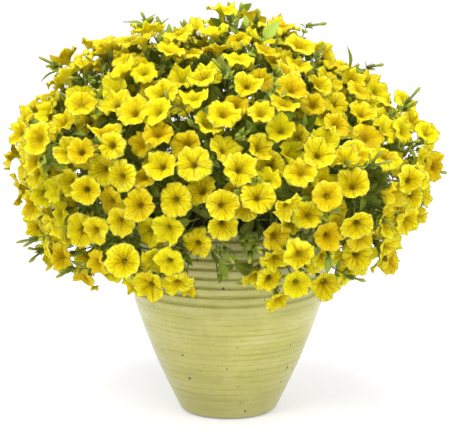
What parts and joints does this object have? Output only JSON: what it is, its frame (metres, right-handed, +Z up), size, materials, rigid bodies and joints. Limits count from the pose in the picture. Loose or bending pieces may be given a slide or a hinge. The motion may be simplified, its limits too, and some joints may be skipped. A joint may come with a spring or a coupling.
{
  "type": "potted petunia",
  "caption": "Mounding petunia covered in yellow trumpet blooms, trailing over the rim of a tapered, ribbed round pot with a green-yellow glaze.",
  "frame": {"origin": "middle of the pot's flat underside, at floor level", "axes": "+Z up along the pot's axis; -Y faces the viewer in the picture; +X is the viewer's right"},
  "size_m": [0.6754, 0.6673, 0.6396],
  "materials": {
    "glaze": "glossy mottled green-yellow glaze, olive in the grooves",
    "soil": "dark, crumbly, dull",
    "petals": "soft yellow petals with darker golden veins",
    "foliage": "soft mid-green leaves, a little lighter at the edges"
  },
  "bodies": {
    "root": {"pot": "glaze", "soil": "soil", "flower_spray_01": "petals", "flower_spray_02": "petals", "flower_spray_03": "petals", "flower_spray_04": "petals", "flower_spray_05": "petals", "flower_spray_06": "petals", "flower_spray_07": "petals", "flower_spray_08": "petals", "flower_spray_09": "petals", "flower_spray_10": "petals", "flower_spray_11": "petals", "flower_spray_12": "petals", "flower_spray_13": "petals", "flower_spray_14": "petals", "flower_spray_15": "petals", "flower_spray_16": "petals", "flower_spray_17": "petals", "flower_spray_18": "petals", "flower_spray_19": "petals", "flower_spray_20": "petals", "flower_spray_21": "petals", "flower_spray_22": "petals", "flower_spray_23": "petals", "flower_spray_24": "petals", "flower_spray_25": "petals", "flower_spray_26": "petals", "flower_spray_27": "petals", "flower_spray_28": "petals", "flower_spray_29": "petals", "flower_spray_30": "petals", "flower_spray_31": "petals", "flower_spray_32": "petals", "flower_spray_33": "petals", "flower_spray_34": "petals", "flower_spray_35": "petals", "flower_spray_36": "petals", "flower_spray_37": "petals", "flower_spray_38": "petals", "flower_spray_39": "petals", "leafy_stem_01": "foliage", "leafy_stem_02": "foliage", "leafy_stem_03": "foliage", "leafy_stem_04": "foliage", "leafy_stem_05": "foliage", "leafy_stem_06": "foliage", "leafy_stem_07": "foliage", "leafy_stem_08": "foliage", "leafy_stem_09": "foliage", "leafy_stem_10": "foliage", "leafy_stem_11": "foliage", "leafy_stem_12": "foliage", "leafy_stem_13": "foliage", "leafy_stem_14": "foliage", "leafy_stem_15": "foliage", "leafy_stem_16": "foliage", "leafy_stem_17": "foliage", "leafy_stem_18": "foliage", "leafy_stem_19": "foliage"}
  },
  "joints": []
}
